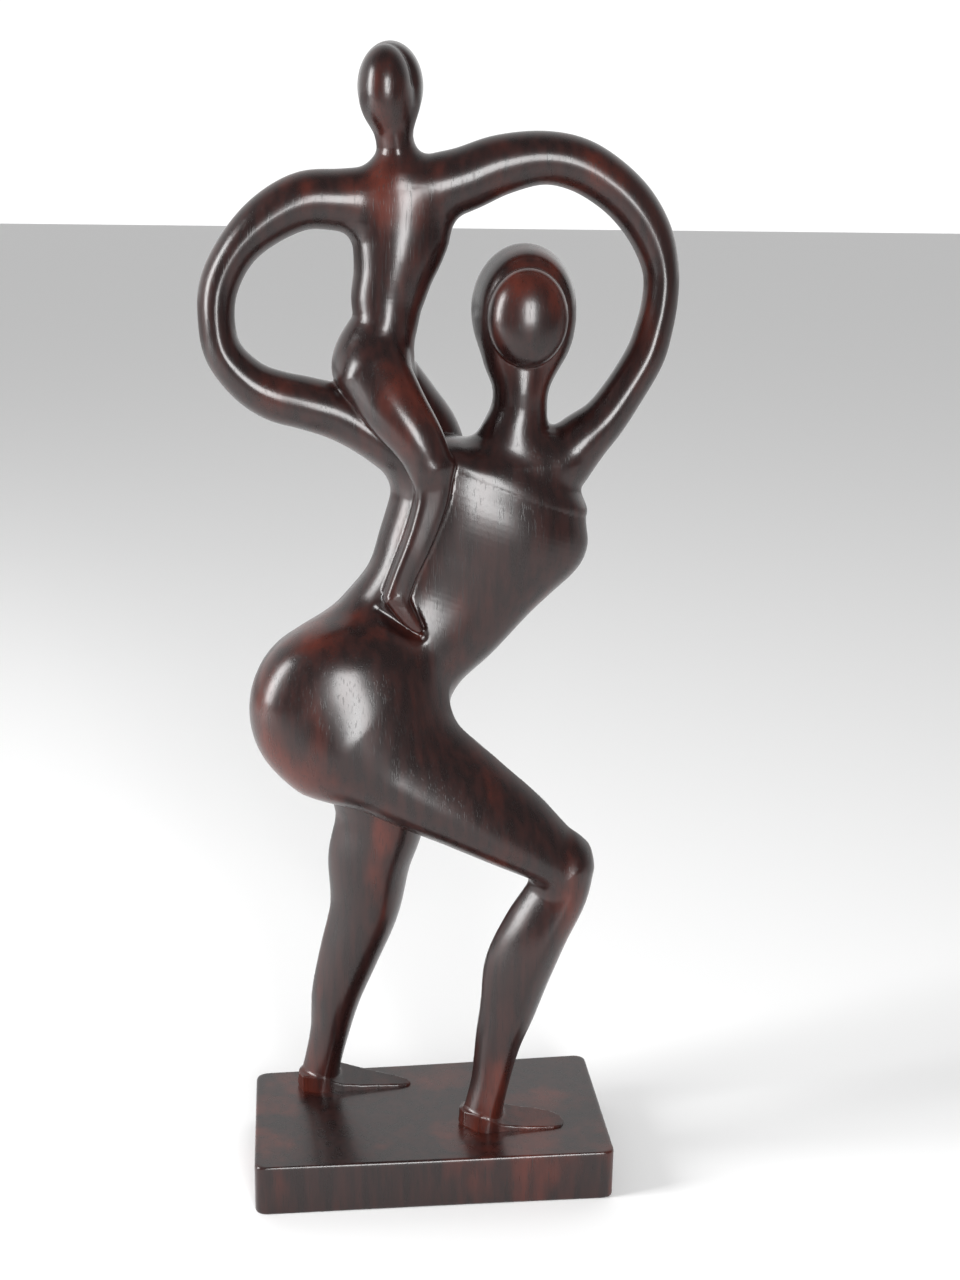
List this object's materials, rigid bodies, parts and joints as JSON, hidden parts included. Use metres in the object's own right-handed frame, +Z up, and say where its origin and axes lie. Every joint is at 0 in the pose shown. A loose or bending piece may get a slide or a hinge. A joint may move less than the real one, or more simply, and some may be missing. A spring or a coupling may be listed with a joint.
{
  "type": "parent and child sculpture",
  "caption": "Carved wooden figure of a striding parent with raised arms that loop round to become the arms of a child astride the shoulder, on a block base.",
  "frame": {"origin": "middle of the block base's flat underside", "axes": "+Z up; the parent's body is in profile and faces +X; -Y is the side that the picture shows"},
  "size_m": [0.2246, 0.0988, 0.5665],
  "materials": {
    "dark_polished_wood": "polished dark stain, semi-gloss"
  },
  "bodies": {
    "root": {"parent_and_child_carving": "dark_polished_wood"}
  },
  "joints": []
}
